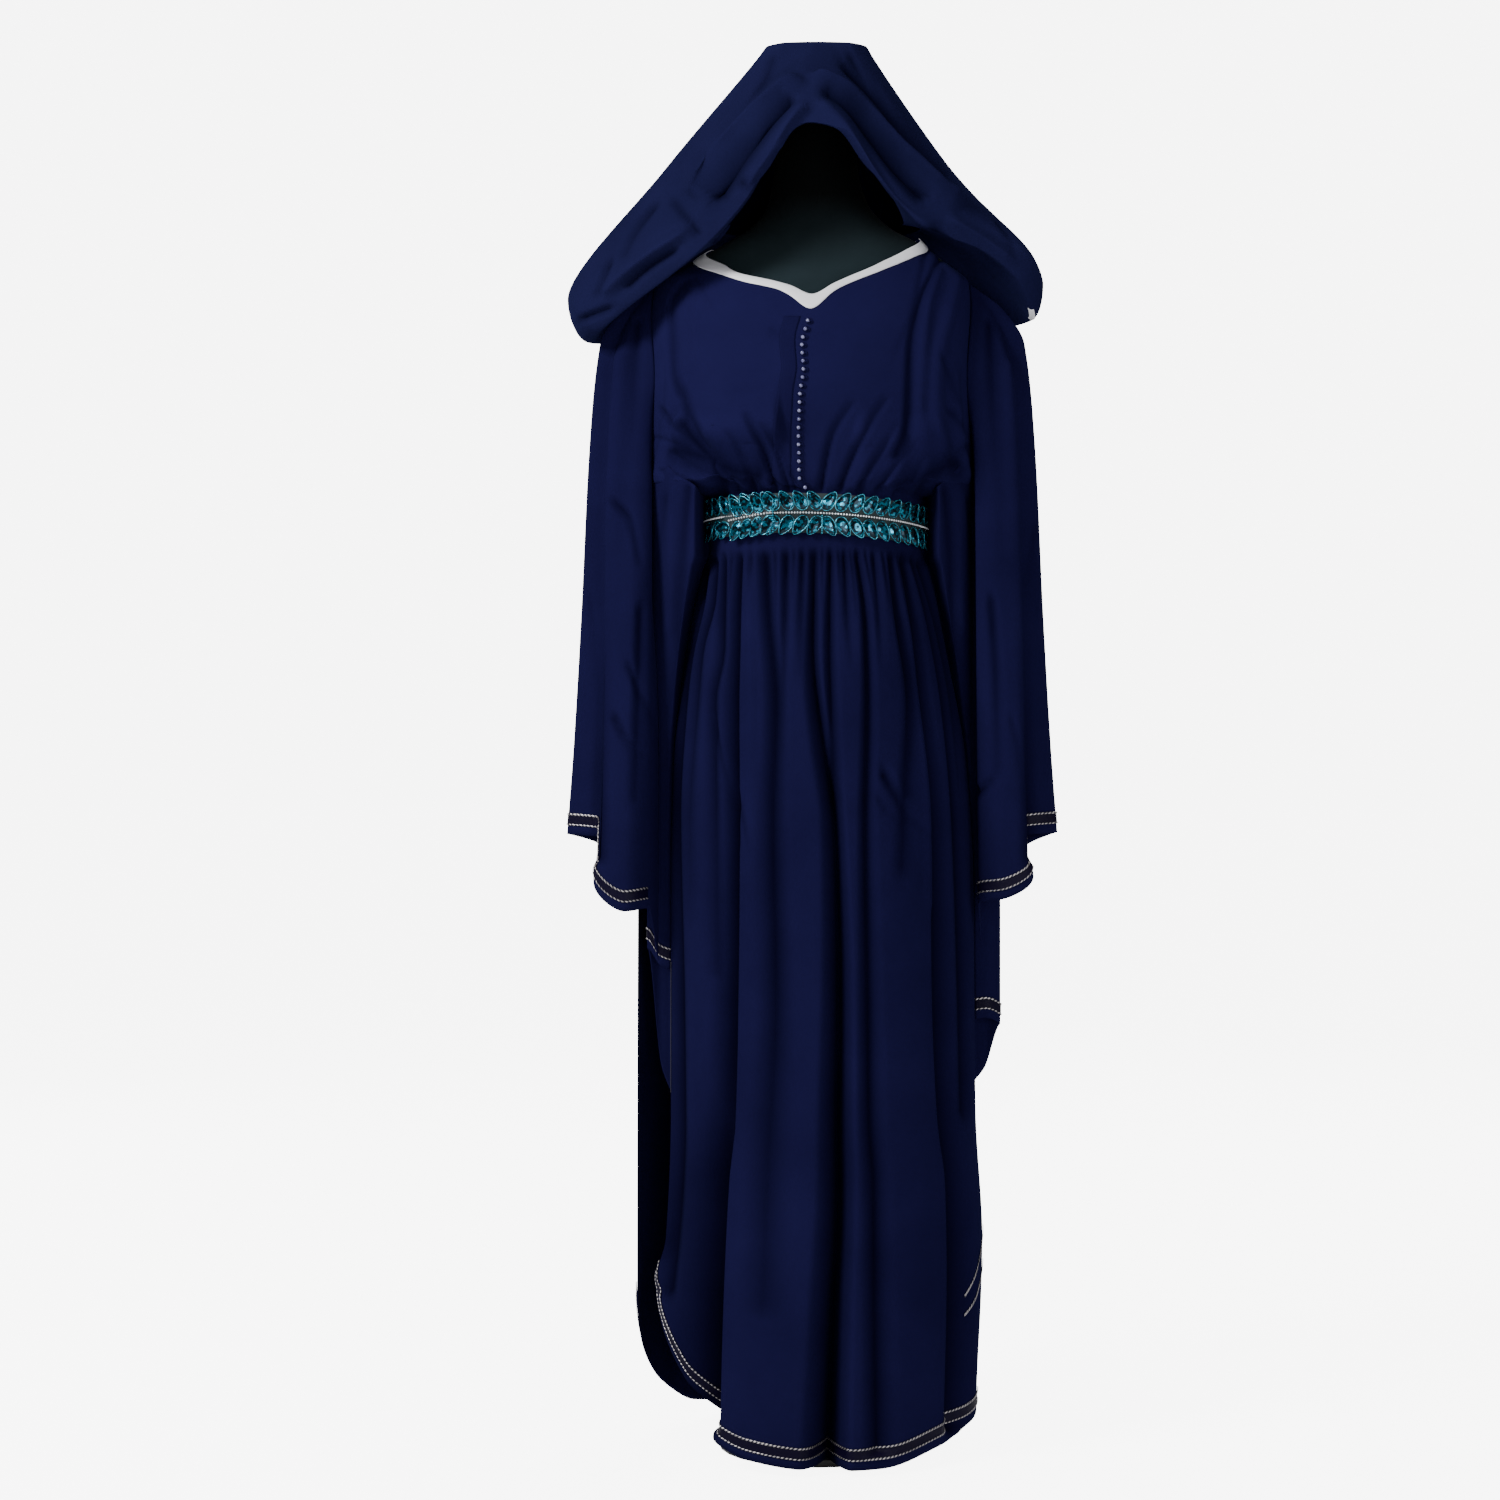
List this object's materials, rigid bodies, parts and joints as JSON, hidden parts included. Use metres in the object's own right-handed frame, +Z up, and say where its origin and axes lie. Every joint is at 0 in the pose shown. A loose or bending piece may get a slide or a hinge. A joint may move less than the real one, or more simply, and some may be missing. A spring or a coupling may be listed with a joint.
{
  "type": "butterfly abaya on a dress form",
  "caption": "Full-length hooded abaya with butterfly sleeves, gathered skirt, button line and stone-set belt, on a limbless dress form with a round base.",
  "frame": {"origin": "centre of the underside of the stand's round base", "axes": "+Z up from the floor, -Y towards the front of the garment, +X to the viewer's right"},
  "size_m": [0.5846, 0.363, 1.6556],
  "materials": {
    "cloth": "matte, smooth navy crepe",
    "trim": "dark band edged with two pale metallic lines",
    "satin": "white satin",
    "pearl": "pearl beads",
    "belt": "faceted teal stones in bright rims on a dark band",
    "form": "matte black cloth cover",
    "stand": "black"
  },
  "bodies": {
    "root": {"bodice_front": "cloth", "bodice_back": "cloth", "skirt_front": "cloth", "skirt_back": "cloth", "sleeve_left": "cloth", "sleeve_right": "cloth", "gusset_left": "cloth", "gusset_right": "cloth", "hood": "cloth", "trim_front": "trim", "trim_back": "trim", "trim_sleeve_left": "trim", "trim_sleeve_right": "trim", "binding_front": "satin", "binding_back": "satin", "button_01": "pearl", "button_02": "pearl", "button_03": "pearl", "button_04": "pearl", "button_05": "pearl", "button_06": "pearl", "button_07": "pearl", "button_08": "pearl", "button_09": "pearl", "button_10": "pearl", "button_11": "pearl", "button_12": "pearl", "button_13": "pearl", "button_14": "pearl", "button_15": "pearl", "button_16": "pearl", "button_17": "pearl", "button_18": "pearl", "button_19": "pearl", "button_20": "pearl", "button_21": "pearl", "belt": "belt", "belt_end": "belt", "form_torso": "form", "form_pole": "stand", "form_base": "stand"}
  },
  "joints": []
}
